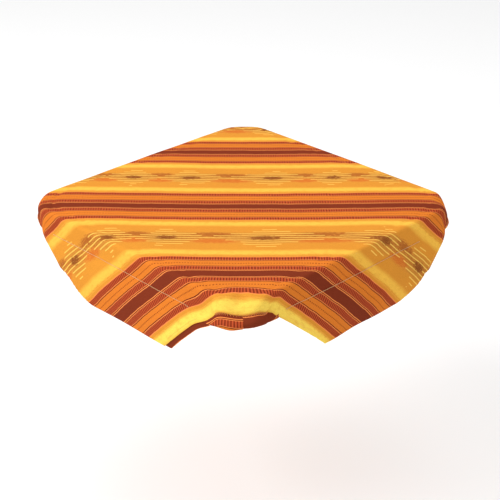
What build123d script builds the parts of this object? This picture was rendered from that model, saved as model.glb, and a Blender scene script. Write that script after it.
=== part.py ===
"""Chair seat pad: a foam square sewn between two striped cloths laid cornerwise.

The cloths are larger than the foam and turned 45 degrees to it, so their four corners
hang over the chair's sides as flaps. Each flap folds under the seat rail, and its tip
carries an eyelet for a tie. Millimetres, +Z up, origin at the centre of the underside.
The front is -Y, and each side's own left and right are as seen from outside.
"""
import os
from math import sqrt

from build123d import *

os.makedirs("parts", exist_ok=True)

# Pad
PAD_SIDE = 420.0
PAD_THICK = 32.0
CORNER_R = 45.0
TOP_EDGE_R = 8.0
CLOTH_THICK = 1.2
FOAM_GAP = 0.4

# The cloths, measured flat: along the stripes and across them. The stripes run on the
# diagonal from the front left corner to the back right corner.
CLOTH_LONG = 592.0
CLOTH_SHORT = 554.0
EDGE_WRAP = 30.0  # cloth between the pad's straight top edge and its underside

# Flaps: how far below the underside they fold under the seat rail
FOLD_DROP = 74.0
HINGE_GAP = 1.2
FOLD_GAP = 0.4
TIP_R = 9.0

# Threads
SEAM_WIDTH = 0.8
SEAM_PROUD = 0.8
SEAM_HEIGHT = 1.6
POCKET_SEAM_LENGTH = 296.0
EDGE_SEAM_INSET = 5.0
EDGE_SEAM_END = 8.0

# Corner wraps: half width and height of the arch that the under cloth fills at each corner
NEAR_ARCH = (41.0, 15.0)
FAR_ARCH = (21.0, 6.0)
CORNER_SEAM_HEIGHT = 2.4

# Tie eyelets
EYELET_HOLE_R = 4.0
EYELET_WALL = 0.8
EYELET_FLANGE_R = 8.0
EYELET_FLANGE_THICK = 0.8
EYELET_LIP_R = 6.2
EYELET_FROM_APEX = 22.0
PATCH_R = 13.0
PATCH_THICK = 1.0

HALF = PAD_SIDE / 2
DIAGONAL_START = 225.0
DIAGONAL_REACH = 90.0
FLAP_THICK = 2 * CLOTH_THICK
CREASE_TO_FOLD = EDGE_WRAP + FOLD_DROP
LONG_REACH = CLOTH_LONG / sqrt(2) - HALF
SHORT_REACH = CLOTH_SHORT / sqrt(2) - HALF
APEX_DROP = (LONG_REACH + SHORT_REACH) / 2
APEX_SHIFT = (LONG_REACH - SHORT_REACH) / 2

# Each side: its turn about Z from the front, and whether its longer edge is on its left
SIDES = {"front": (0, True), "right": (90, False), "back": (180, True), "left": (270, False)}

# Each corner: its turn about Z from the front, and its arch
CORNERS = {
    "front_right": (45, NEAR_ARCH),
    "back_right": (135, FAR_ARCH),
    "back_left": (225, NEAR_ARCH),
    "front_left": (315, FAR_ARCH),
}


def save(builder, name):
    """Label a finished piece and write it under its own name."""
    builder.part.label = name
    export_step(builder.part, f"parts/{name}.step")


def upright(turn, out, height=0.0):
    """Plane facing outwards at a distance from the centre: x to the right, y up."""
    along = Vector(1, 0, 0).rotate(Axis.Z, turn)
    outward = Vector(0, -1, 0).rotate(Axis.Z, turn)
    return Plane(origin=outward * out + Vector(0, 0, height), x_dir=along, z_dir=outward)


def level(turn, height):
    """Plane facing up with its origin on one side's outer face: x to the right, y inwards."""
    along = Vector(1, 0, 0).rotate(Axis.Z, turn)
    outward = Vector(0, -1, 0).rotate(Axis.Z, turn)
    return Plane(origin=outward * HALF + Vector(0, 0, height), x_dir=along, z_dir=(0, 0, 1))


def cloth_ends(long_left, drop, inset=0.0):
    """Left and right ends of the cloth on one side at a distance below the crease."""
    long_end = LONG_REACH - drop - inset
    short_end = SHORT_REACH - drop - inset
    if long_left:
        return -long_end, short_end
    return -short_end, long_end


def apex_x(long_left):
    """Where along its side a flap comes to its point."""
    return -APEX_SHIFT if long_left else APEX_SHIFT


def pad_block(grow, base=0.0):
    """The pad's outline as a solid, larger all round by a distance."""
    with BuildPart() as block:
        with BuildSketch(Plane.XY.offset(base)):
            RectangleRounded(PAD_SIDE + 2 * grow, PAD_SIDE + 2 * grow, CORNER_R + grow)
        extrude(amount=PAD_THICK + grow - base)
        fillet(block.edges().group_by(Axis.Z)[-1], TOP_EDGE_R + grow)
    return block.part


def arch(turn, half_width, height, left=True, right=True):
    """Arch-shaped cutter that crosses one corner of the pad, whole or one half of it."""
    first = -half_width if left else 0.0
    last = half_width if right else 0.0
    with BuildPart() as cutter:
        with BuildSketch(upright(turn, DIAGONAL_START)):
            with BuildLine():
                ThreePointArc((-half_width, 0), (0, height), (half_width, 0))
                Line((half_width, 0), (-half_width, 0))
            make_face()
            with Locations(((first + last) / 2, height / 2)):
                Rectangle(last - first, height, mode=Mode.INTERSECT)
        extrude(amount=DIAGONAL_REACH)
    return cutter.part


cover_shell = pad_block(0.0) - pad_block(-CLOTH_THICK)
seam_shell = pad_block(SEAM_PROUD) - pad_block(0.0)
corner_arches = [arch(turn, *size) for turn, size in CORNERS.values()]

# ---- Pad ----
foam_inset = CLOTH_THICK + FOAM_GAP

with BuildPart() as foam_core:
    add(pad_block(-foam_inset, foam_inset))
save(foam_core, "foam_core")

with BuildPart() as top_cover:
    add(cover_shell)
    add(corner_arches, mode=Mode.SUBTRACT)
save(top_cover, "top_cover")

with BuildPart() as under_cover:
    with BuildSketch(Plane.XY):
        RectangleRounded(PAD_SIDE - 2 * CLOTH_THICK, PAD_SIDE - 2 * CLOTH_THICK,
                         CORNER_R - CLOTH_THICK)
    extrude(amount=CLOTH_THICK)
save(under_cover, "under_cover")


def make_corner(name, turn, size):
    """The under cloth's two pieces that wrap a corner, and the seam above them."""
    half_width, height = size
    for side, is_left in (("left", True), ("right", False)):
        with BuildPart() as wrap:
            add(cover_shell)
            add(arch(turn, half_width, height, is_left, not is_left), mode=Mode.INTERSECT)
        save(wrap, f"corner_wrap_{name}_{side}")

    with BuildPart() as seam:
        add(seam_shell)
        add(arch(turn, half_width, height + CORNER_SEAM_HEIGHT), mode=Mode.INTERSECT)
        add(arch(turn, half_width, height), mode=Mode.SUBTRACT)
    save(seam, f"corner_seam_{name}")


def make_flap(name, turn, long_left):
    """One flap down to its fold: two cloths, the seam at its top and its edge stitching."""
    top_left, top_right = cloth_ends(long_left, EDGE_WRAP + HINGE_GAP)
    low_left, low_right = cloth_ends(long_left, CREASE_TO_FOLD)
    outline = [(top_left, -HINGE_GAP), (top_right, -HINGE_GAP),
               (low_right, -FOLD_DROP), (low_left, -FOLD_DROP)]

    for layer, out in (("lining", HALF), ("cloth", HALF + CLOTH_THICK)):
        with BuildPart() as sheet:
            with BuildSketch(upright(turn, out)):
                with BuildLine():
                    Polyline(*outline, close=True)
                make_face()
            extrude(amount=CLOTH_THICK)
        save(sheet, f"flap_{layer}_{name}")

    first = EDGE_WRAP + EDGE_SEAM_END
    last = CREASE_TO_FOLD - EDGE_SEAM_INSET / 2
    ends_first = cloth_ends(long_left, first, EDGE_SEAM_INSET)
    ends_last = cloth_ends(long_left, last, EDGE_SEAM_INSET)
    with BuildPart() as edge_seam:
        with BuildSketch(upright(turn, HALF + FLAP_THICK)):
            for start, end in zip(ends_first, ends_last):
                with BuildLine():
                    Polyline((start, EDGE_WRAP - first), (start + SEAM_WIDTH, EDGE_WRAP - first),
                             (end + SEAM_WIDTH, EDGE_WRAP - last), (end, EDGE_WRAP - last),
                             close=True)
                make_face()
        extrude(amount=SEAM_PROUD / 2)
    save(edge_seam, f"flap_edge_seam_{name}")

    with BuildPart() as pocket_seam:
        with BuildSketch(upright(turn, HALF, SEAM_HEIGHT)):
            Rectangle(POCKET_SEAM_LENGTH, SEAM_WIDTH)
        extrude(amount=SEAM_PROUD)
    save(pocket_seam, f"pocket_seam_{name}")


def make_tongue(name, turn, long_left):
    """The flap's pointed end beyond the fold, with its patch and tie eyelet."""
    fold_left, fold_right = cloth_ends(long_left, CREASE_TO_FOLD + FOLD_GAP)
    reach = APEX_DROP - CREASE_TO_FOLD
    tip = (apex_x(long_left), reach)
    hole = (apex_x(long_left), reach - EYELET_FROM_APEX)
    barrel_r = EYELET_HOLE_R + EYELET_WALL

    for layer, below in (("lining", 0.0), ("cloth", CLOTH_THICK)):
        with BuildPart() as sheet:
            with BuildSketch(level(turn, -FOLD_DROP - below)) as outline:
                with BuildLine():
                    Polyline((fold_left, FOLD_GAP), (fold_right, FOLD_GAP), tip, close=True)
                make_face()
                fillet(outline.vertices().sort_by(Axis.Y)[-1], TIP_R)
                with Locations(hole):
                    Circle(barrel_r, mode=Mode.SUBTRACT)
            extrude(amount=-CLOTH_THICK)
        save(sheet, f"tongue_{layer}_{name}")

    with BuildPart() as patch:
        with BuildSketch(level(turn, -FOLD_DROP)):
            with Locations(hole):
                Circle(PATCH_R)
                Circle(barrel_r, mode=Mode.SUBTRACT)
        extrude(amount=PATCH_THICK)
    save(patch, f"eyelet_patch_{name}")

    with BuildPart() as washer:
        with BuildSketch(level(turn, -FOLD_DROP + PATCH_THICK)):
            with Locations(hole):
                Circle(EYELET_FLANGE_R)
                Circle(barrel_r, mode=Mode.SUBTRACT)
        extrude(amount=EYELET_FLANGE_THICK)
    save(washer, f"eyelet_washer_{name}")

    flange_low = -FOLD_DROP - FLAP_THICK - EYELET_FLANGE_THICK
    lip_low = -FOLD_DROP + PATCH_THICK + EYELET_FLANGE_THICK
    barrel_length = lip_low + EYELET_FLANGE_THICK - flange_low
    with BuildPart() as eyelet:
        for radius, height, length in (
            (EYELET_FLANGE_R, flange_low, EYELET_FLANGE_THICK),
            (barrel_r, flange_low, barrel_length),
            (EYELET_LIP_R, lip_low, EYELET_FLANGE_THICK),
        ):
            with BuildSketch(level(turn, height)):
                with Locations(hole):
                    Circle(radius)
            extrude(amount=length)
        with BuildSketch(level(turn, flange_low)):
            with Locations(hole):
                Circle(EYELET_HOLE_R)
        extrude(amount=barrel_length, mode=Mode.SUBTRACT)
    save(eyelet, f"tie_eyelet_{name}")


for corner_name, (corner_turn, arch_size) in CORNERS.items():
    make_corner(corner_name, corner_turn, arch_size)

for side_name, (side_turn, long_on_left) in SIDES.items():
    make_flap(side_name, side_turn, long_on_left)
    make_tongue(side_name, side_turn, long_on_left)
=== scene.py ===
"""Looks of a chair seat pad: two striped cloths sewn cornerwise round a foam square.

The cloths are laid out flat first, with their stripes along one diagonal of the pad, and
every piece of cloth is then bent round the pad, down its sides and under the seat rail by
the same formula. Sizes in this file are millimetres until a mesh is made from them.
"""
from math import cos, pi, radians, sin, sqrt

import bmesh
import bpy
import numpy as np
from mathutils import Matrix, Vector


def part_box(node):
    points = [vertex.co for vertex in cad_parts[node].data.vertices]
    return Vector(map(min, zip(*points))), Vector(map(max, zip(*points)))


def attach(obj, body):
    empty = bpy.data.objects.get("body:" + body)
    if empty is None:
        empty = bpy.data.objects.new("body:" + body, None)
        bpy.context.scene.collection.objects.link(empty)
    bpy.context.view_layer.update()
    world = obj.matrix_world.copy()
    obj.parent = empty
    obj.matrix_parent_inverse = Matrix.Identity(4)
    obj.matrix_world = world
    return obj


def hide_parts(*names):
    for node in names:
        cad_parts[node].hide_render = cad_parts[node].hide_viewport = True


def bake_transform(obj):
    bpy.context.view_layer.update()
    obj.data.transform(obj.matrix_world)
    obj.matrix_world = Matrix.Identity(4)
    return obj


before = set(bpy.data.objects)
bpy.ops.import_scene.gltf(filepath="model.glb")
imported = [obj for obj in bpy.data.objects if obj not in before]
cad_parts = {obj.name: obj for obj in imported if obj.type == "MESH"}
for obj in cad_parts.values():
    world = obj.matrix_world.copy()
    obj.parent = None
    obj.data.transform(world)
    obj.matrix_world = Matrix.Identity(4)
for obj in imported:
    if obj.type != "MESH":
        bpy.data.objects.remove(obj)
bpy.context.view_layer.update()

MM = 0.001

# ---- The pad and its flaps, from the frame ----
FLAP_OUT = -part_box("flap_cloth_front")[0].y / MM
LINING_OUT = -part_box("flap_lining_front")[0].y / MM
TONGUE_UNDER = -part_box("tongue_cloth_front")[0].z / MM
patch_low, patch_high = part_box("eyelet_patch_front")
PATCH_UNDER = patch_low.z / MM
PATCH_OVER = patch_high.z / MM
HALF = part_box("top_cover")[1].x / MM
FOAM_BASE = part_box("foam_core")[0].z / MM
STITCH_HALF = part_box("pocket_seam_front")[1].x / MM
CORNER_R = 45.0
CORE = HALF - CORNER_R
EDGE_WRAP = 30.0  # cloth between the pad's straight top edge and its underside

# ---- The cloths, measured flat: half along the stripes and half across them ----
CLOTH_LONG = 296.0
CLOTH_SHORT = 277.0
LINING_LONG = 295.5
LINING_NEAR = 284.5  # the lining peeps out past the upper cloth along the near edge
LINING_FAR = 275.8
BLUNT = 3.0  # how much a sewn corner of the cloths is rounded off
CLOTH_THICK = 0.9
LAYER_STEP = FLAP_OUT - LINING_OUT
# The near edge's cut strays inwards across the right flap: its slope, where along the edge it
# begins, where it leads back out to the flap's point, and how far in the cloth follows it
OFF_SQUARE = 0.064
OFF_SQUARE_FROM = 60.0
OFF_SQUARE_BACK = (172.0, 240.0)
OFF_SQUARE_DEPTH = 40.0
PEEP_END = (-60.0, 45.0)  # where along the near edge the lining draws back under the cloth

# ---- The pad's crown, and the bend of its top edge along the sides and at the corners ----
EDGE_HEIGHT = 30.2
EDGE_CROWN = 1.6
MIDDLE_CROWN = -3.2  # the foam's edges stand a little proud of its middle
SIDE_BEND_R = 5.5
NEAR_BEND_R = 29.0
FAR_BEND_R = 12.0
LEFT_BEND_R = 11.0
RIGHT_BEND_R = 24.0
# The cloth is drawn down further over the near and far corners: how far, and where that takes
# hold along the stripes and across them, and outwards from the pad's core
NEAR_PULL = dict(by=8.5, left=(50, 95), right=(30, 55), across=(218, 260))
FAR_PULL = dict(by=9.0, along=45, across=(225, 260))
PULL_OUT = (14.0, 40.0)
HANG_FROM = (-16.0, 25.0)  # where the cloth comes to hang straight, below the underside

# ---- Flaps ----
FOLD_R = 3.5
LONG_END_R = 3.5  # how much rounder the fold grows towards the flap's long end
LONG_END_OVER = 50.0
SEAM_UP = 1.5  # how far the pocket's stitch line is above the underside
FOLD_SINK = 0.75  # how far a rounded fold lies below the corner that flat cloth would have
FOLD_DROP = TONGUE_UNDER - FOLD_SINK
FOLD_STAND_OFF = 0.6  # how much further out the fold stands than the stitch line
# Distances from the pad's middle along the flat cloth: to the stitch line, to just above the
# fold, to past the fold where the cloth is flat again, and to beyond the cloth's points
SEAM_D = HALF + EDGE_WRAP - SEAM_UP
SPLIT_D = HALF + EDGE_WRAP + FOLD_DROP - 8.0
BEYOND_FOLD_D = 324.0
APEX_D = 410.0
FLARE_END = (90.0, 150.0)  # where along a flap its long end is

# The hinge lines at the front, between the pad and a flap and between a flap and its tongue; the
# tongue's one decides where a flap's cloth is split into its flap and tongue pieces
FLAP_BEND = ((0, -210, -1), (0, -210, -13))
TONGUE_BEND = ((0, -213, -70), (0, -205, -78))

# Each side: its turn about Z from the front, whether its longer edge is on its left, and how
# the flap hangs: where its fold begins to curl up towards the long edge, that curl's radius,
# the depths between which the curl takes hold, how far the flap bellies out, and how far its
# long end flares. Last come the ends of the pocket's stitch line, as shares of its half length.
SIDES = {
    "front": dict(turn=0, long_left=True, curl_from=62, curl_r=70, curl_on=(30, 55), belly=4.0,
                  flare=-2.5, stitched=(-1.0, 0.82)),
    "right": dict(turn=90, long_left=False, curl_from=72, curl_r=72, curl_on=(28, 50), belly=6.5,
                  flare=2.5, stitched=(-0.92, 0.8)),
    "back": dict(turn=180, long_left=True, curl_from=66, curl_r=70, curl_on=(30, 52), belly=5.0,
                 flare=-1.0, stitched=(-0.95, 0.95)),
    "left": dict(turn=270, long_left=False, curl_from=64, curl_r=70, curl_on=(30, 52), belly=4.5,
                 flare=-1.5, stitched=(-0.95, 0.95)),
}

# Each corner: its turn about Z from the front, the half width of the opening between the
# flaps, how far the under cloth bulges out of it and droops, and the flat cloth's reach there
CORNERS = {
    "front_right": dict(turn=45, half_width=43, bulge=13, droop=9.5, reach=CLOTH_SHORT),
    "back_right": dict(turn=135, half_width=27, bulge=3.5, droop=0.5, reach=CLOTH_LONG),
    "back_left": dict(turn=225, half_width=42, bulge=11, droop=6.0, reach=CLOTH_SHORT),
    "front_left": dict(turn=315, half_width=27, bulge=3.5, droop=0.5, reach=CLOTH_LONG),
}
WRAP_ARC = 1.25 * pi  # how far round a wrap's surface goes, from the cloth's edge to below
WRAP_START = -2.6  # where it starts, out from the cloth's edge
WRAP_END = -10.0  # where it ends, out from the pad's corner
PLEAT_END = 3.0  # where the pleat's folded edge lies, along each corner from its middle
CREASE_AT = 43.0  # where the near corner's cloth is pinched, along the stripes
CREASE_DEPTH = 2.2

# ---- Threads, patches and foam ----
THREAD_R = 0.34
FINE_THREAD_R = 0.17
OVERLOCK_R = 0.55
OVERLOCK_STEP = 1.7
OVERLOCK_REACH = (2.2, -1.6)  # how far its zigzag goes past the cloth's edge and back over it
STITCH_PITCH = 3.6
STITCH_LENGTH = 3.0
EDGE_INSET = 5.0
EYELET_HOLE_R = 6.0
PATCH_HOLE_R = 4.9
PATCH_STITCH_R = 10.8
PATCH_STITCHES = 22
PATCH_SIDES = 72
FOAM_WRAP = 12.0  # how far the foam's top reaches down its sides
FOAM_INSET = 2.4  # how far it lies inside the cloth
FOAM_LINES = 61


def smooth(x, start, end):
    """0 before start, 1 after end, and a smooth rise between them."""
    t = np.clip((x - start) / (end - start), 0.0, 1.0)
    return t * t * (3 - 2 * t)


def axes(turn):
    """Unit vectors along a side, to its right as seen from outside, and outwards."""
    a = radians(turn)
    return np.array((cos(a), sin(a))), np.array((sin(a), -cos(a)))


def stripes_uv(flat):
    """Flat (x, y) on the cloth as distances along and across the stripes."""
    return (flat[:, 0] + flat[:, 1]) / sqrt(2), (flat[:, 0] - flat[:, 1]) / sqrt(2)


# ---- How the cloth lies ----
def crown(x, y):
    """Height of the pad's top before its edge bends down."""
    a, b = x / HALF, y / HALF
    return EDGE_HEIGHT + EDGE_CROWN * (1 - (a * b) ** 2) + MIDDLE_CROWN * (1 - a * a) * (1 - b * b)


def wall_distance(flat):
    """Distance of flat points outside the pad's square core, and the direction of it."""
    over = np.maximum(np.abs(flat) - CORE, 0.0)
    r = np.hypot(over[:, 0], over[:, 1])
    return r, over / np.maximum(r, 1e-9)[:, None]


def below_underside(flat):
    """Distance below the pad's underside, along the cloth."""
    return wall_distance(flat)[0] - CORNER_R - EDGE_WRAP


def place(flat):
    """Where points of the upper cloth lie: flat (x, y) on the cloth to (x, y, z) on the pad."""
    sign = np.where(flat < 0, -1.0, 1.0)
    r, n = wall_distance(flat)
    u, v = stripes_uv(flat)
    near = (1 - smooth(u, *NEAR_PULL["right"])) * (1 - smooth(-u, *NEAR_PULL["left"]))
    far = np.exp(-(np.abs(u) / FAR_PULL["along"]) ** 3)
    pull = NEAR_PULL["by"] * near * smooth(v, *NEAR_PULL["across"])
    pull += FAR_PULL["by"] * far * smooth(-v, *FAR_PULL["across"])
    r = r + pull * smooth(r, *PULL_OUT)
    diagonal = (2 * n[:, 0] * n[:, 1]) ** 2
    across = flat[:, 0] * flat[:, 1] < 0
    at_corner = np.where(across, np.where(v > 0, NEAR_BEND_R, FAR_BEND_R),
                         np.where(u > 0, RIGHT_BEND_R, LEFT_BEND_R))
    bend = SIDE_BEND_R + (at_corner - SIDE_BEND_R) * diagonal

    start = CORNER_R - bend
    angle = np.clip((r - start) / bend, 0.0, pi / 2)
    plan = np.where(r < start, r, start + bend * np.sin(angle))
    drop = bend * (1 - np.cos(angle)) + np.maximum(r - start - bend * pi / 2, 0.0)
    xy = sign * (np.minimum(np.abs(flat), CORE) + n * plan[:, None])
    low = r - CORNER_R - EDGE_WRAP
    z = crown(xy[:, 0], xy[:, 1]) - drop
    z += (-low - z) * smooth(low, *HANG_FROM)
    out = n * sign
    points = np.c_[xy, z]

    for side in SIDES.values():
        along, outward = axes(side["turn"])
        s, d = flat @ along, flat @ outward
        here = (d > np.abs(s)) & (d > HALF)
        if here.any():
            points[here] = hang(points[here], s[here], low[here], out[here], side)
    return points


def hang(points, s, low, out, side):
    """Moves a flap's points from the straight drop to the way that it hangs and folds."""
    along, outward = axes(side["turn"])
    to_long = -1 if side["long_left"] else 1
    t = s * to_long
    centre = FOLD_DROP - side["curl_r"]
    curled = (t > side["curl_from"]) & (low > centre)
    across = np.where(curled, t - side["curl_from"], 0.0)
    down = np.where(curled, low - centre, 1.0)
    reach = np.hypot(across, down)
    hold = smooth(low, *side["curl_on"])
    straight = low - FOLD_DROP
    past = np.where(curled, straight + (reach - side["curl_r"] - straight) * hold, straight)
    dir_t, dir_low = across / reach, down / reach

    bend = FOLD_R + LONG_END_R * smooth(t, side["curl_from"], side["curl_from"] + LONG_END_OVER)
    first = -bend * pi / 4
    angle = np.clip((past - first) / bend, 0.0, pi / 2)
    flat_on = np.maximum(past + first, 0.0)
    in_plane = np.where(past < first, past, first + bend * np.sin(angle))
    inward = bend * (1 - np.cos(angle)) + flat_on

    depth = np.clip(low / FOLD_DROP, 0.0, 1.0)
    belly = side["belly"] * np.sin(pi * np.minimum(depth * 1.05, 1)) ** 1.2
    end = smooth(t, *FLARE_END)
    stand_off = (FLAP_OUT - HALF) * smooth(low, -6, 6)
    stand_off += belly * (1 - 0.6 * end) + FOLD_STAND_OFF * depth
    stand_off += side["flare"] * end * smooth(low, -20, 20)

    moved = points.copy()
    shift = in_plane - past
    step_t = dir_t * shift * to_long
    moved[:, :2] += out * stand_off[:, None] + along * step_t[:, None] - outward * inward[:, None]
    moved[:, 2] -= dir_low * shift
    return moved


def ripples(flat):
    """Small unevenness of cloth that was sewn and pulled by hand, along its normal."""
    low = below_underside(flat)
    u, v = stripes_uv(flat)
    broad = np.sin(u / 31 + 1.3) * np.sin(v / 37 + 0.4) + 0.6 * np.sin(u / 17 - v / 23 + 2.0)
    pucker = np.sin(v / 3.7) + 0.7 * np.sin(u / 5.2)
    near_seam = np.exp(-((low + SEAM_UP) / 9) ** 2)
    hanging = smooth(low, 2, 40) * (1 - smooth(low, FOLD_DROP + 20, FOLD_DROP + 45))
    crease = np.exp(-((u - CREASE_AT) / 3.5) ** 2) * smooth(v, 255, 270) * smooth(-low, -4, 4)
    return broad * (0.2 + 0.8 * hanging) + 0.25 * pucker * near_seam - CREASE_DEPTH * crease


# ---- Flat cloth meshes ----
def spaced(*stretches):
    """Places along a line, by stretches of it: each one's start, end and count of places."""
    return np.concatenate([np.linspace(*stretch, endpoint=False) for stretch in stretches])


def grid_lines():
    """Grid lines of the flat cloth, closer together where it bends."""
    half = spaced((0, 150, 30), (150, SEAM_D, 34), (SEAM_D, SPLIT_D, 22),
                  (SPLIT_D, BEYOND_FOLD_D, 13), (BEYOND_FOLD_D, APEX_D, 18))
    return np.concatenate([-half[:0:-1], half])


def outline(long_half, near_half, far_half):
    """A cloth's cut, as lines that bound it: each a direction on the flat cloth and a distance."""
    along, across = np.array((1, 1)) / sqrt(2), np.array((1, -1)) / sqrt(2)
    apex = (long_half + far_half) / sqrt(2) - BLUNT
    blunted = [(axes(side["turn"])[1], apex) for side in SIDES.values()]
    return [(along, long_half), (-along, long_half), (across, near_half), (-across, far_half),
            *blunted]


def square_grid(lines):
    """Points of a square grid whose lines cross at the same places both ways."""
    gx, gy = np.meshgrid(lines, lines, indexing="ij")
    return np.c_[gx.ravel(), gy.ravel()]


def grid_quads(rows, columns):
    """The faces between a grid's points, which are numbered row by row."""
    index = np.arange(rows * columns).reshape(rows, columns)
    quads = np.stack([index[:-1, :-1], index[1:, :-1], index[1:, 1:], index[:-1, 1:]], -1)
    return quads.reshape(-1, 4)


def flat_mesh(lines, cut):
    """A flat cloth's points and faces on a grid, cut to its outline."""
    points = square_grid(lines)
    quads = grid_quads(len(lines), len(lines))
    inside = np.all([points @ direction < reach + 8 for direction, reach in cut], axis=0)
    quads = quads[inside[quads].all(1)]
    used, renumbered = np.unique(quads, return_inverse=True)
    mesh = bpy.data.meshes.new("flat")
    flat = np.c_[points[used], np.zeros(len(used))]
    mesh.from_pydata(flat.tolist(), [], renumbered.reshape(-1, 4).tolist())
    work = bmesh.new()
    work.from_mesh(mesh)
    for direction, reach in cut:
        normal = Vector((*direction, 0.0))
        everything = work.verts[:] + work.edges[:] + work.faces[:]
        bmesh.ops.bisect_plane(work, geom=everything, dist=0.3, plane_co=normal * reach,
                               plane_no=normal, clear_outer=True)
    work.verts.index_update()
    flat = np.array([v.co[:2] for v in work.verts])
    faces = [[v.index for v in f.verts] for f in work.faces]
    work.free()
    bpy.data.meshes.remove(mesh)
    return flat, faces


def centres(flat, faces):
    """The middle of each face on the flat cloth."""
    return np.array([flat[f].mean(0) for f in faces])


def chosen(faces, keep):
    """The faces where keep is true."""
    return [f for f, wanted in zip(faces, keep) if wanted]


def point_normals(points, faces):
    """Smooth normals of an open mesh at its points."""
    normals = np.zeros_like(points)
    for size in sorted({len(f) for f in faces}):
        group = np.array([f for f in faces if len(f) == size])
        corner = points[group]
        total = np.zeros((len(group), 3))
        for k in range(size):
            total += np.cross(corner[:, k], corner[:, (k + 1) % size])
        for k in range(size):
            np.add.at(normals, group[:, k], total)
    return normals / np.maximum(np.linalg.norm(normals, axis=1), 1e-12)[:, None]


# ---- Making pieces ----
def link(name, mesh):
    """A new object in the scene."""
    piece = bpy.data.objects.new(name, mesh)
    bpy.context.scene.collection.objects.link(piece)
    return piece


def make_mesh(name, points, faces, material):
    """A smooth mesh of one material, from points in millimetres."""
    mesh = bpy.data.meshes.new(name)
    mesh.from_pydata((np.asarray(points) * MM).tolist(), [], faces)
    mesh.polygons.foreach_set("use_smooth", [True] * len(mesh.polygons))
    mesh.materials.append(material)
    return mesh


def other_side(outer, count):
    """What closes a sheet: its faces again, on points numbered count higher, and its rim."""
    inner = [[i + count for i in reversed(f)] for f in outer]
    edges = {(a, b) for f in outer for a, b in zip(f, f[1:] + f[:1])}
    rim = [[b, a, a + count, b + count] for a, b in sorted(edges) if (b, a) not in edges]
    return inner, rim


def set_weave(mesh, weave):
    """Gives a mesh's points their place on the striped cloth."""
    attribute = mesh.attributes.new("weave", "FLOAT_VECTOR", "POINT")
    attribute.data.foreach_set("vector", np.asarray(weave, np.float32).ravel())


def cloth_piece(name, points, normals, faces, weave, material):
    """A closed piece of cloth from some faces of a sheet, with its outer face on the points."""
    used = np.unique([i for f in faces for i in f])
    new = {old: k for k, old in enumerate(used)}
    outer = [[new[i] for i in f] for f in faces]
    count = len(used)
    inner, rim = other_side(outer, count)
    p, n = points[used], normals[used]
    mesh = make_mesh(name, np.r_[p, p - n * CLOTH_THICK], outer + inner + rim, material)
    set_weave(mesh, np.tile(weave[used], (2, 1)))
    shading = [tuple(n[i]) for f in outer for i in f]
    shading += [tuple(-n[i - count]) for f in inner for i in f]
    shading += [(0.0, 0.0, 0.0)] * (4 * len(rim))
    mesh.normals_split_custom_set(shading)
    return link(name, mesh)


def surface(name, points, weave, material):
    """A closed piece of cloth whose outer face is the underside of a grid of points."""
    upward = grid_quads(*points.shape[:2])
    faces = np.roll(upward[:, ::-1], 1, axis=1).tolist()
    points = points.reshape(-1, 3)
    normals = point_normals(points, faces)
    return cloth_piece(name, points, normals, faces, weave.reshape(-1, 3), material)


def tubes(name, paths, material, sides=6):
    """One mesh of round threads: each path is a list of (point, radius)."""
    verts, faces = [], []
    for path in paths:
        points = np.array([p for p, _ in path], float)
        steps = np.gradient(points, axis=0)
        base = len(verts)
        for (point, radius), step in zip(path, steps):
            step = step / max(np.linalg.norm(step), 1e-9)
            side = np.cross(step, (0.3, 0.2, 1.0))
            side /= np.linalg.norm(side)
            up = np.cross(side, step)
            for k in range(sides):
                a = 2 * pi * k / sides
                verts.append(np.array(point) + radius * (cos(a) * side + sin(a) * up))
        for row in range(len(path) - 1):
            for k in range(sides):
                a, b = base + row * sides + k, base + row * sides + (k + 1) % sides
                faces.append((a, a + sides, b + sides, b))
        faces.append(tuple(range(base, base + sides)))
        last = base + (len(path) - 1) * sides
        faces.append(tuple(range(last + sides - 1, last - 1, -1)))
    return link(name, make_mesh(name, verts, faces, material))


def stitch(a, b, up_a, up_b, radius):
    """One stitch's path: it comes up out of the cloth at a and goes back in at b."""
    share = ((0.0, -0.25), (0.12, 0.2), (0.5, 0.35), (0.88, 0.2), (1.0, -0.25))
    path = []
    for t, lift in share:
        up = up_a * (1 - t) + up_b * t
        path.append((a * (1 - t) + b * t + up * (lift + radius * 0.5), radius))
    return path


def declare_sheet(flat, faces, direction):
    """Measures a cloth piece's points on the flat cloth along a direction and across it, but keeps
    nothing.
    """
    used = np.unique([i for f in faces for i in f])
    along = flat[used] @ np.array(direction)
    across = flat[used] @ np.array((-direction[1], direction[0]))


# ---- The stripes ----
REPEAT = 190.0  # from one brown band to the next
BROWN_CENTRE = 19.0  # where the middle brown band crosses the pad
LINING_SHIFT = 43.5  # how far the under cloth's stripes lie from the upper cloth's
# Where the ikat lozenges sit along each ikat band, from the far side to the near side
MOTIFS = (
    (-330, -236, -150, -62, 36, 120, 214, 300),
    (-330, -235, -154, -78, 43, 127, 197, 285),
    (-330, -250, -172, -100, 27, 185, 270, 350),
)


def weave_at(u, v):
    """Cloth coordinates for the stripes: along them, across them, and the lozenge count."""
    w = v - BROWN_CENTRE
    across = w * 1.0091 - 0.0001277 * w * w  # the cloth gives a little towards the near corner
    count = np.zeros(len(u))
    band = np.floor(across / REPEAT)
    for k, places in zip((-2, -1, 0), MOTIFS):
        here = band == k
        count[here] = np.interp(u[here], places, range(len(places)))
    return np.c_[u, across, count]


def joined(operation):
    """A method that makes a math node of a value and another value or number."""
    return lambda value, other: value.graph.math(operation, value, other)


class Value:
    """A node's output, which can be reckoned with like a number."""

    def __init__(self, graph, socket):
        self.graph = graph
        self.socket = socket

    __add__ = joined("ADD")
    __sub__ = joined("SUBTRACT")
    __mul__ = joined("MULTIPLY")
    __truediv__ = joined("DIVIDE")

    def __rsub__(self, number):
        return self.graph.math("SUBTRACT", number, self)

    def __abs__(self):
        return self.graph.math("ABSOLUTE", self)


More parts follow.
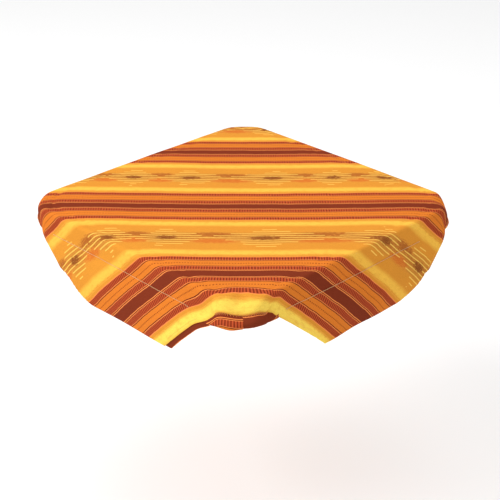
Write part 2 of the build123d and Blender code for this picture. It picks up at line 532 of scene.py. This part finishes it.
class Graph:
    """Short names for making one material's nodes."""

    def __init__(self, name):
        self.material = bpy.data.materials.new(name)
        self.material.use_nodes = True
        self.tree = self.material.node_tree
        self.shader = self.tree.nodes["Principled BSDF"]

    def fill(self, socket, value):
        if isinstance(value, Value):
            self.tree.links.new(value.socket, socket)
        else:
            socket.default_value = value

    def node(self, kind, inputs=(), **settings):
        made = self.tree.nodes.new(kind)
        for key, value in settings.items():
            setattr(made, key, value)
        for key, value in dict(inputs).items():
            self.fill(made.inputs[key], value)
        return made

    def value(self, kind, inputs=(), output=0, **settings):
        """One output of a new node."""
        return Value(self, self.node(kind, inputs, **settings).outputs[output])

    def math(self, operation, *values):
        return self.value("ShaderNodeMath", dict(enumerate(values)), operation=operation)

    def mix(self, share, a, b, blend="MIX"):
        """Colour a where share is 0, and b where it is 1."""
        return self.value("ShaderNodeMix", {0: share, 6: a, 7: b}, output=2, data_type="RGBA",
                          blend_type=blend)

    def rise(self, value, start, end):
        """0 where value is under start, 1 over end."""
        return self.value("ShaderNodeMapRange", {0: value, 1: start, 2: end},
                          interpolation_type="SMOOTHSTEP")

    def fall(self, value, start, end):
        """1 where value is under start, 0 over end."""
        return 1.0 - self.rise(value, start, end)

    def within(self, value, middle, half_width):
        """1 within half_width of middle, 0 outside."""
        return self.math("LESS_THAN", abs(value - middle), half_width)

    def spot(self, x, y, reach, fray):
        """1 in the middle of an oval, falling to 0 at its frayed edge."""
        x, y = x / reach[0], y / reach[1]
        return self.fall(x * x + y * y + fray, 0.0, 1.5)

    def ramp(self, value, bands, interpolation):
        """Colours by place: each band is where a colour starts and the colour."""
        made = self.node("ShaderNodeValToRGB", {0: value})
        ramp = made.color_ramp
        ramp.interpolation = interpolation
        while len(ramp.elements) < len(bands):
            ramp.elements.new(0.5)
        for element, (start, colour) in zip(ramp.elements, bands):
            element.position = start / HALF_REPEAT
            element.color = colour
        return Value(self, made.outputs[0])

    def noise(self, vector, scale=1.0, detail=2.0, rough=0.5):
        return self.value("ShaderNodeTexNoise", {"Vector": vector, "Scale": scale,
                                                 "Detail": detail, "Roughness": rough})

    def vector(self, x, y, z=0.0):
        return self.value("ShaderNodeCombineXYZ", {0: x, 1: y, 2: z})

    def position(self):
        return self.value("ShaderNodeTexCoord", output="Object")

    def finish(self, colour, height, strength, distance, **settings):
        """Joins colour and bump to the shader, and sets its other sockets."""
        self.fill(self.shader.inputs["Base Color"], colour)
        bump = self.value("ShaderNodeBump", {"Height": height, "Strength": strength,
                                             "Distance": distance})
        self.fill(self.shader.inputs["Normal"], bump)
        for key, value in settings.items():
            self.shader.inputs[key.replace("_", " ")].default_value = value
        return self.material


def srgb(*on_screen):
    """A colour given as 0 to 255 on screen, as linear light."""
    c = np.array(on_screen) / 255
    return (*np.where(c <= 0.04045, c / 12.92, ((c + 0.055) / 1.055) ** 2.4), 1.0)


YELLOW = srgb(240, 184, 72)
LEMON = srgb(250, 214, 90)
GOLD = srgb(216, 142, 50)
ORANGE = srgb(216, 120, 42)
LADDER = srgb(186, 80, 44)
BROWN = srgb(124, 50, 29)
LIGHT = srgb(236, 138, 72)
DARK = srgb(108, 36, 20)
PALE_LINE = srgb(240, 172, 72)
IKAT = srgb(211, 140, 56)
STREAK = srgb(250, 204, 96)
BLOTCH = srgb(160, 84, 36)
EMBER = srgb(206, 104, 40)
STROKE = srgb(120, 62, 30)
OLIVE = srgb(180, 118, 48)

HALF_REPEAT = REPEAT / 2
# The bands from the middle of a brown one outwards, to where the yellows begin
NEAR_BANDS = ((0, BROWN), (6.9, LIGHT), (7.9, DARK), (9.0, LIGHT), (10.0, LADDER),
              (17.2, LIGHT), (18.1, DARK), (19.2, ORANGE), (32.2, DARK), (33.2, LIGHT),
              (34.2, LADDER), (41.4, LIGHT), (42.4, GOLD))
NEAR_END = 43.0
FAR_BANDS = ((NEAR_END, GOLD), (47.2, GOLD), (50.2, YELLOW), (57, YELLOW), (63, GOLD),
             (76, GOLD), (86, IKAT))
# The last yellow band before the near corner is a clearer yellow, from here to here
LEMON_FROM = (236.0, 242.0)
LEMON_TO = (247.0, 255.0)
LADDERS = ((13.6, 3.6), (37.8, 3.6))  # middle and half width of each ladder band
LADDER_STEP = 3.4
DOTTED = (25.6, 0.7)  # middle and half width of the dotted line in the orange band
PALE_AT = (46.6, 0.6)
TICK_SHARE = 0.8  # how strongly the dark ticks cover the band below them
WAVER = 2.6  # how far the stripes stray from straight
BLUR = 0.08  # how far the dye bleeds along a thread, as a share of half a repeat
# The ikat: its rows of streaks, and how far its marks reach along and across the stripes.
# Lengths along are shares of the distance from one lozenge to the next
STREAK_STEP = 5.9
STREAK_REACH = 0.56
STREAK_TAPER = 0.12
LOZENGE_EDGE = (12, 22)
BETWEEN_AT = 9.0
BETWEEN_REACH = (0.25, 7.0)
TAILS_REACH = (0.42, 6.0)
MIDDLE_REACH = (0.15, 6.5)
RIB_STEP = 1.3
WEFT_STEP = 0.8


def ikat(g, colour, across, count, threads):
    """Rows of light streaks in lozenges, with dark strokes at and between their middles."""
    offset = (g.math("FRACT", across / REPEAT) - 0.5) * REPEAT
    exact_row = offset / STREAK_STEP
    row = g.math("ROUND", exact_row)
    motif = g.math("ROUND", count)
    along = count - motif
    half_along = abs(along)
    place_seed = g.vector(row, motif, g.math("SIGN", along))
    seed = g.value("ShaderNodeTexWhiteNoise", {"Vector": place_seed})
    length = STREAK_REACH - abs(row) * STREAK_TAPER + (seed - 0.5) * 0.2
    fray = threads - 0.5
    inside = length - half_along + fray * 0.05
    streak = g.rise(inside, 0.0, 0.012) * g.fall(abs(exact_row - row), 0.08, 0.14)

    height = abs(offset)
    lozenge = g.rise(inside, -0.02, 0.1) * g.fall(height + fray * 9.0, *LOZENGE_EDGE)
    colour = g.mix(lozenge * 0.4, colour, OLIVE)
    fray = fray * 4.5
    between = g.spot(0.5 - half_along, height - BETWEEN_AT, BETWEEN_REACH, fray)
    tone = g.mix(g.math("GREATER_THAN", offset, 0.0), BLOTCH, EMBER)
    colour = g.mix(between * 0.8, colour, tone)
    colour = g.mix(g.spot(half_along, offset, TAILS_REACH, fray) * 0.5, colour, BLOTCH)
    middle = g.spot(half_along, offset, MIDDLE_REACH, fray)
    colour = g.mix(middle * 0.75, colour, STROKE)
    return g.mix(streak * g.fall(middle, 0.3, 0.8) * 0.85, colour, STREAK)


def striped_cloth(name):
    """Woven cotton: mirrored bands of stripes with an ikat band between them."""
    g = Graph(name)
    weave = g.value("ShaderNodeAttribute", output="Vector", attribute_name="weave")
    parts = g.node("ShaderNodeSeparateXYZ", {0: weave}).outputs
    u, across, count = [Value(g, part) for part in parts]
    wobble = g.noise(g.vector(u / 26.0, across / 60.0))
    threads = g.noise(g.vector(u / 6.0, across * 1.1), 1.0, 3.0, 0.6)
    across = across + (wobble - 0.5) * WAVER
    t = g.math("PINGPONG", across, HALF_REPEAT)

    share = t / HALF_REPEAT
    near = g.ramp(share, NEAR_BANDS, "CONSTANT")
    far = g.ramp(share + (threads - 0.5) * BLUR, FAR_BANDS, "LINEAR")
    last = g.rise(across, *LEMON_FROM) * g.fall(across, *LEMON_TO)
    far = g.mix(last * 0.9, far, LEMON)
    mottle = g.noise(g.vector(u / 9.0, across / 5.0))
    far = g.mix(g.rise(mottle, 0.45, 0.75) * 0.3, far, GOLD)
    colour = g.mix(g.math("GREATER_THAN", t, NEAR_END), near, far)

    # Ticks in the ladder bands, and a dotted line down the middle of the orange ones
    step = u / LADDER_STEP + wobble * 1.5
    tick = g.rise(g.math("PINGPONG", step, 0.5), 0.2, 0.32)
    rungs = g.math("MAXIMUM", *[g.within(t, *ladder) for ladder in LADDERS])
    colour = g.mix(tick * rungs * TICK_SHARE, colour, DARK)
    colour = g.mix(tick * g.within(t, *DOTTED) * TICK_SHARE, colour, DARK)
    colour = g.mix(g.within(t, *PALE_AT) * 0.35, colour, PALE_LINE)
    colour = ikat(g, colour, across, count, threads)

    # Uneven dye along each thread, soiling in broad patches, the ribs of the weave, and painted
    # shade in the grooves between the ribs
    fine = g.noise(g.vector(u * 0.9, across * 1.6), 1.0, 1.0)
    patches = g.noise(g.vector(u / 90.0, across / 70.0))
    rib = g.math("PINGPONG", u / RIB_STEP, 0.5)
    weft = g.math("PINGPONG", across / WEFT_STEP, 0.5)
    dye_and_shade = threads * 0.3 + 0.84 + (fine - 0.5) * 0.4 + (patches - 0.5) * 0.12
    # painted shade: the bottoms of the grooves between the weave's ribs are darkened
    dye_and_shade = dye_and_shade - g.fall(rib, 0.02, 0.2) * 0.16
    colour = g.mix(1.0, colour, g.vector(dye_and_shade, dye_and_shade, dye_and_shade), "MULTIPLY")
    height = rib * 0.8 + weft * 0.5 + threads * 0.6
    return g.finish(colour, height, 0.4, 0.0004, Roughness=0.95, Specular_IOR_Level=0.03)


def thread(name, colour, dark):
    """Twisted sewing thread."""
    g = Graph(name)
    position = g.position()
    twist = g.value("ShaderNodeTexWave", {"Vector": position, "Scale": 900.0, "Distortion": 1.5},
                    output=1)
    share = (twist + g.noise(position, 300.0)) * 0.35
    return g.finish(g.mix(share, colour, dark), twist, 0.5, 0.0002, Roughness=0.7,
                    Sheen_Weight=0.1)


def foam(name):
    """Cut polyurethane foam, with its open cells."""
    g = Graph(name)
    position = g.position()
    cells = g.value("ShaderNodeTexVoronoi", {"Vector": position, "Scale": 700.0})
    share = (cells + g.noise(position, 30.0)) * 0.5
    colour = g.mix(share, srgb(244, 236, 208), srgb(214, 198, 150))
    return g.finish(colour, cells, 0.6, 0.0006, Roughness=0.95)


def brass(name):
    """Rolled brass, rubbed along its edges and dulled in patches."""
    g = Graph(name)
    position = g.position()
    tone = g.noise(position, 260.0, 4.0)
    scuffs = g.noise(position, 1900.0)
    colour = g.mix(tone, srgb(202, 158, 84), srgb(150, 108, 52))
    g.fill(g.shader.inputs["Roughness"], tone * 0.25 + 0.22)
    return g.finish(colour, scuffs, 0.15, 0.0002, Metallic=1.0)


cotton = striped_cloth("striped_cotton")
pale_thread = thread("pale_thread", srgb(236, 190, 136), srgb(196, 140, 90))
orange_thread = thread("orange_thread", srgb(240, 146, 64), srgb(206, 96, 44))
golden_thread = thread("golden_thread", srgb(250, 196, 84), srgb(240, 170, 66))
foam_material = foam("foam")
brass_material = brass("brass")


# ---- The pad ----
SWELL = 1.4  # how far the simulated cloth may swell
SWELL_FRAMES = 20


def inflate(points, faces, pinned, cap):
    """Cloth simulation of a sheet held where pinned: how far each point bulges, up to cap."""
    mesh = bpy.data.meshes.new("inflate")
    mesh.from_pydata((points * MM).tolist(), [], faces)
    sheet = link("inflate", mesh)
    group = sheet.vertex_groups.new(name="held")
    for index, weight in enumerate(pinned):
        if weight > 0:
            group.add([index], float(weight), "REPLACE")
    cloth = sheet.modifiers.new("cloth", "CLOTH")
    facts = dict(quality=5, mass=0.2, tension_stiffness=12, compression_stiffness=12,
                 bending_stiffness=0.6, vertex_group_mass="held", shrink_min=-0.012,
                 use_pressure=True, uniform_pressure_force=4)
    for key, value in facts.items():
        setattr(cloth.settings, key, value)
    cloth.settings.effector_weights.gravity = 0
    cloth.point_cache.frame_start = 1
    cloth.point_cache.frame_end = SWELL_FRAMES
    scene = bpy.context.scene
    for number in range(1, SWELL_FRAMES + 1):
        scene.frame_set(number)
    settled = sheet.evaluated_get(bpy.context.evaluated_depsgraph_get()).to_mesh()
    moved = np.array([v.co for v in settled.vertices], float) / MM - points
    scene.frame_set(1)
    bpy.data.objects.remove(sheet)
    bpy.data.meshes.remove(mesh)
    size = np.linalg.norm(moved, axis=1)
    return moved * (cap * np.tanh(size / cap) / np.maximum(size, 1e-6))[:, None]


def punched(flat, faces, centre, radius):
    """The faces without a round hole at centre, whose edge is moved to the radius."""
    away = np.linalg.norm(centres(flat, faces) - centre, axis=1)
    kept = chosen(faces, away > radius * 1.15)
    gone = chosen(faces, away <= radius * 1.15)
    rim = sorted({i for f in gone for i in f} & {i for f in kept for i in f})
    arm = flat[rim] - centre
    flat[rim] = centre + arm * (radius / np.linalg.norm(arm, axis=1))[:, None]
    return kept


def eyelet_flat(side):
    """Where a side's eyelet goes through the flat cloth."""
    low, high = (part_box("tie_eyelet_front")[k] / MM for k in (0, 1))
    inward = FLAP_OUT + FOLD_STAND_OFF + (low.y + high.y) / 2
    reach = HALF + EDGE_WRAP + FOLD_DROP + inward - FOLD_SINK
    shift = (low.x + high.x) / 2 * (1 if side["long_left"] else -1)
    along, outward = axes(side["turn"])
    return along * shift + outward * reach


def off_square(flat, near_half=CLOTH_SHORT, far_half=CLOTH_SHORT):
    """Flat points close to the near edge, drawn in where its cut strays inwards.

    A cloth that reaches further towards the near corner than towards the far one is also drawn
    in to the far one's reach, beyond where it peeps out.
    """
    u, v = stripes_uv(flat)
    stray = OFF_SQUARE * np.maximum(u - OFF_SQUARE_FROM, 0) * (1 - smooth(u, *OFF_SQUARE_BACK))
    stray += (near_half - far_half) * smooth(u, *PEEP_END)
    shift = stray * smooth(v, near_half - OFF_SQUARE_DEPTH, near_half)
    return flat - shift[:, None] * np.array((1, -1)) / sqrt(2)


def cut_cloth(long_half, near_half, far_half):
    """A cloth laid flat, cut to its outline, with its four eyelet holes."""
    flat, faces = flat_mesh(grid_lines(), outline(long_half, near_half, far_half))
    flat = off_square(flat, near_half, far_half)
    for side in SIDES.values():
        faces = punched(flat, faces, eyelet_flat(side), EYELET_HOLE_R)
    return flat, faces


def on_cloth(flat):
    """Points on the upper cloth's outer face at flat points, and the normals there."""
    step = 0.5
    dx = place(flat + (step, 0)) - place(flat - (step, 0))
    dy = place(flat + (0, step)) - place(flat - (0, step))
    normals = np.cross(dx, dy)
    normals /= np.linalg.norm(normals, axis=1)[:, None]
    return place(flat) + normals * ripples(flat)[:, None], normals


def rounded(flat):
    """Flat points of a square, drawn in so that the square's corners become round."""
    over = np.maximum(np.abs(flat) - CORE, 0.0)
    n = wall_distance(flat)[1]
    sign = np.where(flat < 0, -1.0, 1.0)
    return sign * (np.minimum(np.abs(flat), CORE) + n * over.max(1)[:, None])


def front_point(point, turn):
    """A point given at the front, turned to a side, in metres."""
    along, outward = axes(turn)
    xy = along * point[0] - outward * point[1]
    return Vector((*xy, point[2])) * MM


def tongue_share(points, turn):
    """Where points lie along the tongue's hinge line, as a share of the way from its start to its
    end.
    """
    start, end = (np.array(front_point(p, turn)) / MM for p in TONGUE_BEND)
    return (points - start) @ (end - start) / np.dot(end - start, end - start)


def bend(piece, part, name):
    """Bakes a flap's or a tongue's piece in place; the body above it and its hinge are looked up
    but not used.
    """
    above, hinge = ("pad", FLAP_BEND) if part == "flap" else (f"flap_{name}", TONGUE_BEND)
    turn = SIDES[name]["turn"]
    [front_point(p, turn) for p in hinge]
    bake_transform(piece)


cloth_flat, cloth_faces = cut_cloth(CLOTH_LONG, CLOTH_SHORT, CLOTH_SHORT)
cloth_points = place(cloth_flat)
cloth_normals = point_normals(cloth_points, cloth_faces)
cloth_points = cloth_points + cloth_normals * ripples(cloth_flat)[:, None]

face_reach = np.abs(centres(cloth_flat, cloth_faces)).max(1)
pad_faces = chosen(cloth_faces, face_reach < SEAM_D)
pad_points = np.unique([i for f in pad_faces for i in f])
renumber = {old: k for k, old in enumerate(pad_points)}
loose_faces = [[renumber[i] for i in f] for f in pad_faces]
held = smooth(below_underside(cloth_flat[pad_points]), -50, -31)
cloth_points[pad_points] += inflate(cloth_points[pad_points], loose_faces, held, SWELL)
cloth_normals = point_normals(cloth_points, cloth_faces)
cloth_weave = weave_at(*stripes_uv(cloth_flat))

lining_flat, lining_faces = cut_cloth(LINING_LONG, LINING_NEAR, LINING_FAR)
lining_points = place(lining_flat)
lining_normals = point_normals(lining_points, lining_faces)
lining_points += lining_normals * (ripples(lining_flat) - LAYER_STEP)[:, None]


def make_foam():
    """The foam square that fills the pad."""
    grid = square_grid(np.linspace(-HALF - FOAM_WRAP, HALF + FOAM_WRAP, FOAM_LINES))
    top_faces = grid_quads(FOAM_LINES, FOAM_LINES).tolist()
    top = place(rounded(grid))
    top -= point_normals(top, top_faces) * FOAM_INSET
    base = np.c_[rounded(grid) * (HALF - FOAM_INSET) / (HALF + FOAM_WRAP), np.zeros(len(grid))]
    base[:, 2] = FOAM_BASE
    base_faces, rim = other_side(top_faces, len(grid))
    faces = top_faces + base_faces + rim
    mesh = make_mesh("foam_block", np.r_[top, base], faces, foam_material)
    mesh.polygons.foreach_set("use_smooth", [k < len(top_faces) for k in range(len(faces))])
    piece = link("foam_block", mesh)
    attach(piece, "pad")
    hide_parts("foam_core")


def make_pad_cloth():
    """The part of the upper cloth that covers the foam, down to the pocket's stitch lines."""
    piece = cloth_piece("pad_cloth", cloth_points, cloth_normals, pad_faces, cloth_weave, cotton)
    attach(piece, "pad")
    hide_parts("top_cover")
    declare_sheet(cloth_flat, pad_faces, (sqrt(0.5), sqrt(0.5)))


def make_under_cloth():
    """The under cloth's panel beneath the foam, drawn up at its edge to the stitch lines."""
    line = np.append(spaced((-HALF, -CORE, 12), (-CORE, CORE, 60), (CORE, HALF, 12)), HALF)
    grid = square_grid(line)
    xy = rounded(grid)
    edge = smooth(np.abs(grid).max(1), HALF - 14, HALF)
    puckers = np.sin(grid[:, 0] / 2.9) * smooth(np.abs(grid[:, 1]), 150, HALF)
    puckers += np.sin(grid[:, 1] / 3.1) * smooth(np.abs(grid[:, 0]), 150, HALF)
    waves = np.sin(xy[:, 0] / 33 + 0.7) * np.sin(xy[:, 1] / 41 + 1.1)
    z = 0.5 * waves - CLOTH_THICK + 0.35 * puckers * (1 - edge) + edge * (SEAM_UP + 0.4)
    inset = 1 - edge * 1.4 / HALF
    points = np.c_[xy * inset[:, None], z]
    shape = (len(line), len(line), 3)
    u, v = stripes_uv(grid)
    weave = weave_at(u, v - LINING_SHIFT)
    piece = surface("under_cloth", points.reshape(shape), weave.reshape(shape), cotton)
    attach(piece, "pad")
    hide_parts("under_cover")


def make_flap(name, side):
    """One flap's two cloths, from the pad's stitch line to the point below its fold."""
    along, outward = axes(side["turn"])
    # The lining goes straight out from the pad's underside, without the wrap round its edge
    u, v = stripes_uv(lining_flat - outward * EDGE_WRAP)
    lining_weave = weave_at(u, v - LINING_SHIFT)
    layers = (("cloth", cloth_flat, cloth_faces, cloth_points, cloth_normals, cloth_weave),
              ("lining", lining_flat, lining_faces, lining_points, lining_normals, lining_weave))
    for layer, flat, faces, points, normals, weave in layers:
        middle = centres(flat, faces)
        s, d = middle @ along, middle @ outward
        mine = chosen(faces, (d > SEAM_D) & (d > np.abs(s)))
        share = tongue_share(points, side["turn"])
        held = np.array([share[f].max() < -0.1 for f in mine])
        parts = (("flap", chosen(mine, held), "hung", "pad_cloth"),
                 ("tongue", chosen(mine, ~held), "folded", f"flap_{layer}_piece_{name}"))
        for part, part_faces, how, above in parts:
            piece = cloth_piece(f"{part}_{layer}_piece_{name}", points, normals, part_faces, weave,
                                cotton)
            "striped_cloth" if layer == "cloth" else "under_cloth"
            bend(piece, part, name)
            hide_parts(f"{part}_{layer}_{name}")
            declare_sheet(flat, part_faces, along)


def stitch_row(starts, direction, radius):
    """A row of stitches on the upper cloth, from flat points in one direction."""
    starts = np.array(starts)
    a, up_a = on_cloth(off_square(starts))
    b, up_b = on_cloth(off_square(starts + direction * STITCH_LENGTH))
    return [stitch(*places, radius) for places in zip(a, b, up_a, up_b)]


def make_pocket_seam(name, side):
    """The row of stitches that closes the foam's pocket along one side."""
    along, outward = axes(side["turn"])
    first, last = (share * STITCH_HALF for share in side["stitched"])
    spots = np.arange(first, last, STITCH_PITCH)
    base = outward * (SEAM_D + 0.3)
    drift = np.sin(spots / 47 + side["turn"]) * 0.8
    starts = [base + along * s + outward * w for s, w in zip(spots, drift)]
    piece = tubes(f"pocket_stitches_{name}", stitch_row(starts, along, THREAD_R), pale_thread)
    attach(piece, "pad")
    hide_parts(f"pocket_seam_{name}")


def make_edge_seams(name, side):
    """Stitching a little way in from both edges of a flap, above its fold and beyond it."""
    along, outward = axes(side["turn"])
    inset = EDGE_INSET * sqrt(2)
    point_d = (CLOTH_LONG + CLOTH_SHORT) / sqrt(2) - inset
    stretches = (("flap", SEAM_D + 8, SPLIT_D - 6), ("tongue", SPLIT_D + 8, point_d - 6))
    for part, first_d, last_d in stretches:
        rows = []
        for left, sign in ((True, -1), (False, 1)):
            half = CLOTH_LONG if left == side["long_left"] else CLOTH_SHORT
            reach = half * sqrt(2) - inset
            start, end = [along * sign * (reach - d) + outward * d for d in (first_d, last_d)]
            length = np.linalg.norm(end - start)
            step = (end - start) / length
            spots = np.arange(0, length - STITCH_LENGTH, STITCH_PITCH)
            rows += stitch_row([start + step * k for k in spots], step, FINE_THREAD_R)
        piece = tubes(f"{part}_edge_stitches_{name}", rows, golden_thread)
        bend(piece, part, name)
        if part == "flap":
            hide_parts(f"flap_edge_seam_{name}")


def make_patch(name, side):
    """The round patch that backs a tie eyelet, sewn down near its edge."""
    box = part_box(f"tie_eyelet_{name}")
    cx, cy = (box[0].x + box[1].x) / 2 / MM, (box[0].y + box[1].y) / 2 / MM
    # The patch's section, from its hole out over its top and back below: radius and height
    rings = ((PATCH_HOLE_R, 0.25), (PATCH_HOLE_R, 1.2), (8.5, 1.25), (10.6, 0.95), (11.2, 1.2),
             (12.4, 1.1), (13.0, 0.6), (12.9, 0.0), (9.0, -0.1), (PATCH_HOLE_R, 0.0))
    count = PATCH_SIDES
    verts, faces, weave = [], [], []
    for row, (radius, height) in enumerate(rings):
        here, above = row * count, (row + 1) % len(rings) * count
        for k in range(count):
            a = 2 * pi * k / count
            r = radius + (0.25 * sin(9 * a) if radius > 12 else 0)
            x, y = r * cos(a), r * sin(a)
            verts.append((cx + x, cy + y, PATCH_UNDER - 0.2 + height))
            weave.append((x * 0.7, 25 + y * 0.45, 0.0))
            beside = (k + 1) % count
            faces.append((here + k, above + k, above + beside, here + beside))
    mesh = make_mesh(f"patch_{name}", verts, faces, cotton)
    set_weave(mesh, weave)
    patch = link(f"patch_{name}", mesh)
    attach(patch, f"tongue_{name}")
    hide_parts(f"eyelet_patch_{name}")

    up = np.array((0, 0, 1.0))
    rows = []
    for k in range(PATCH_STITCHES):
        ends = []
        for a in (2 * pi * k / PATCH_STITCHES, 2 * pi * (k + 0.8) / PATCH_STITCHES):
            x, y = cx + PATCH_STITCH_R * cos(a), cy + PATCH_STITCH_R * sin(a)
            ends.append(np.array((x, y, PATCH_OVER - 0.25)))
        rows.append(stitch(*ends, up, up, FINE_THREAD_R))
    ring = tubes(f"patch_stitches_{name}", rows, pale_thread)
    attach(ring, f"tongue_{name}")


# ---- Corners ----
def body_reach(b):
    """How far the pad's rounded corner reaches, at a distance along from its middle."""
    round_part = CORE * sqrt(2) + np.sqrt(np.maximum(CORNER_R ** 2 - b ** 2, 0.0))
    return np.where(np.abs(b) < CORNER_R / sqrt(2), round_part, HALF * sqrt(2) - np.abs(b))


def arch_edge(corner):
    """The upper cloth's edge across a corner: places along it, outwards and up."""
    along, outward = axes(corner["turn"])
    spots = np.linspace(-60, 60, 81)
    points = on_cloth(spots[:, None] * along + corner["reach"] * outward)[0]
    return points[:, :2] @ along, points[:, :2] @ outward, points[:, 2]


def wrap_points(corner, spots, tucks, proud):
    """A wrap's surface: columns at distances along the corner, each a drooping half round."""
    edge_b, edge_out, edge_z = arch_edge(corner)
    width = corner["half_width"]
    shares = np.linspace(0, 1, 17)
    angle = WRAP_ARC * shares
    outermost = np.maximum(np.sin(angle), 0)
    columns, arcs = [], []
    for b, tuck in zip(spots, tucks):
        top = np.interp(b, edge_b, edge_z) - 0.3
        bottom = -1.4 - corner["droop"] * (0.6 + 0.4 * smooth(-b, -5, 15))
        z = (top + bottom) / 2 + (top - bottom) / 2 * np.cos(angle)
        body = body_reach(b)
        first = min(np.interp(b, edge_b, edge_out), body + 4) + WRAP_START
        first -= 3 * smooth(abs(b), width - 8, width + 2)
        open_share = max(1 - (b / (width + 4)) ** 2, 0.0)
        bulge = (corner["bulge"] + proud) * open_share ** 0.5
        reach = first + (body + WRAP_END - first) * shares ** 2
        reach += bulge * outermost ** 2 - tuck * outermost ** 0.5
        steps = np.hypot(np.diff(reach), np.diff(z))
        arcs.append(np.concatenate([[0.0], np.cumsum(steps)]))
        columns.append(np.c_[np.full(len(z), b), reach, z])
    return np.array(columns), np.array(arcs)


def make_wraps(name, corner):
    """The under cloth's two pieces that wrap one corner: a pleat laid over the other side."""
    along, outward = axes(corner["turn"])
    width = corner["half_width"]
    fold = np.array((0.0, 0.5, 0.87, 1.0, 1.0))
    sink = np.array((0.0, 0.13, 0.5, 1.0, 2.2))
    spots_left = np.concatenate([-width - 5 - 2.5 * fold[::-1],
                                 np.linspace(-width - 3, PLEAT_END - 3, 24),
                                 PLEAT_END - 2 + 1.6 * fold])
    tucks_left = np.concatenate([sink[::-1] * 2.2, np.zeros(24), sink * 1.8])
    spots_right = np.linspace(PLEAT_END - 6, width + 1, 30)
    sides = (("left", spots_left, tucks_left, 1.6), ("right", spots_right, np.zeros(30), 0.0))
    for which, spots, tucks, proud in sides:
        columns, down = wrap_points(corner, spots, tucks, proud)
        xy = columns[..., :1] * along + columns[..., 1:2] * outward
        points = np.concatenate([xy, columns[..., 2:]], -1)
        across = columns[..., 0]
        if corner["reach"] == CLOTH_LONG:
            weave = (down, across - 24, across * 0)
        elif which == "left":
            weave = (across, down + 0.2, across * 0)
        else:
            skew = 0.04 * np.maximum(across - 22, 0.0) ** 2
            weave = (across, down - 12.5 + skew, across * 0)
        weave = np.stack(weave, -1)
        piece = surface(f"wrap_{name}_{which}", points[::-1], weave[::-1], cotton)
        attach(piece, "pad")
        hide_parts(f"corner_wrap_{name}_{which}")


def make_overlock(name, corner):
    """Zigzag thread over the upper cloth's cut edge, across one corner."""
    along, outward = axes(corner["turn"])
    spots = np.arange(-corner["half_width"] + 4, corner["half_width"] - 3, OVERLOCK_STEP)
    flat = []
    for k, b in enumerate(spots):
        flat.append(along * b + outward * (corner["reach"] + OVERLOCK_REACH[k % 2]))
    points, normals = on_cloth(np.array(flat))
    path = [(p + n * CLOTH_THICK, OVERLOCK_R) for p, n in zip(points, normals)]
    piece = tubes(f"overlock_{name}", [path], orange_thread)
    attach(piece, "pad")
    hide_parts(f"corner_seam_{name}")


make_foam()
make_pad_cloth()
make_under_cloth()
for side_name, side_facts in SIDES.items():
    make_flap(side_name, side_facts)
    make_pocket_seam(side_name, side_facts)
    make_edge_seams(side_name, side_facts)
    make_patch(side_name, side_facts)
    for kind in ("tie_eyelet", "eyelet_washer"):
        for material_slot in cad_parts[f"{kind}_{side_name}"].material_slots:
            material_slot.material = brass_material
for corner_name, corner_facts in CORNERS.items():
    make_wraps(corner_name, corner_facts)
    make_overlock(corner_name, corner_facts)


# ---- Stage, in metres ----
FLOOR_Z = -0.43
FLOOR_REACH = 6.0
AZIMUTH = radians(45.184)
ELEVATION = radians(27.169)
EYE = (1.09476, -1.07412, 0.74191)
LENS = 89.79
LAMPS = (("key", (-1.2, -2.3, 2.1), 1.6, 68), ("top", (0.2, 0.4, 2.6), 2.2, 22))
AMBIENT = 0.78


def make_stage():
    """Pale floor below the pad, soft studio light and the camera."""
    mesh = bpy.data.meshes.new("floor")
    far = FLOOR_REACH
    corners = ((-far, -far), (far, -far), (far, far), (-far, far))
    mesh.from_pydata([(x, y, FLOOR_Z) for x, y in corners], [], [(0, 1, 2, 3)])
    g = Graph("floor")
    g.shader.inputs["Base Color"].default_value = (0.95, 0.95, 0.95, 1)
    g.shader.inputs["Roughness"].default_value = 0.9
    mesh.materials.append(g.material)
    link("floor", mesh)

    world = bpy.data.worlds.new("studio")
    bpy.context.scene.world = world
    world.use_nodes = True
    background = world.node_tree.nodes["Background"]
    background.inputs[0].default_value = (1.0, 1.0, 1.0, 1)
    background.inputs[1].default_value = AMBIENT

    for name, spot, size, power in LAMPS:
        light = bpy.data.lights.new(name, "AREA")
        light.size = size
        light.energy = power
        lamp = link(name, light)
        lamp.location = spot
        lamp.rotation_euler = (-Vector(spot)).to_track_quat("-Z", "Y").to_euler()

    camera = bpy.data.cameras.new("camera")
    camera.sensor_width = 36
    camera.lens = LENS
    back = Vector((sin(AZIMUTH) * cos(ELEVATION), -cos(AZIMUTH) * cos(ELEVATION), sin(ELEVATION)))
    eye = link("camera", camera)
    eye.location = EYE
    eye.rotation_euler = (-back).to_track_quat("-Z", "Y").to_euler()
    bpy.context.scene.camera = eye
    bpy.context.scene.view_settings.view_transform = "Standard"


make_stage()
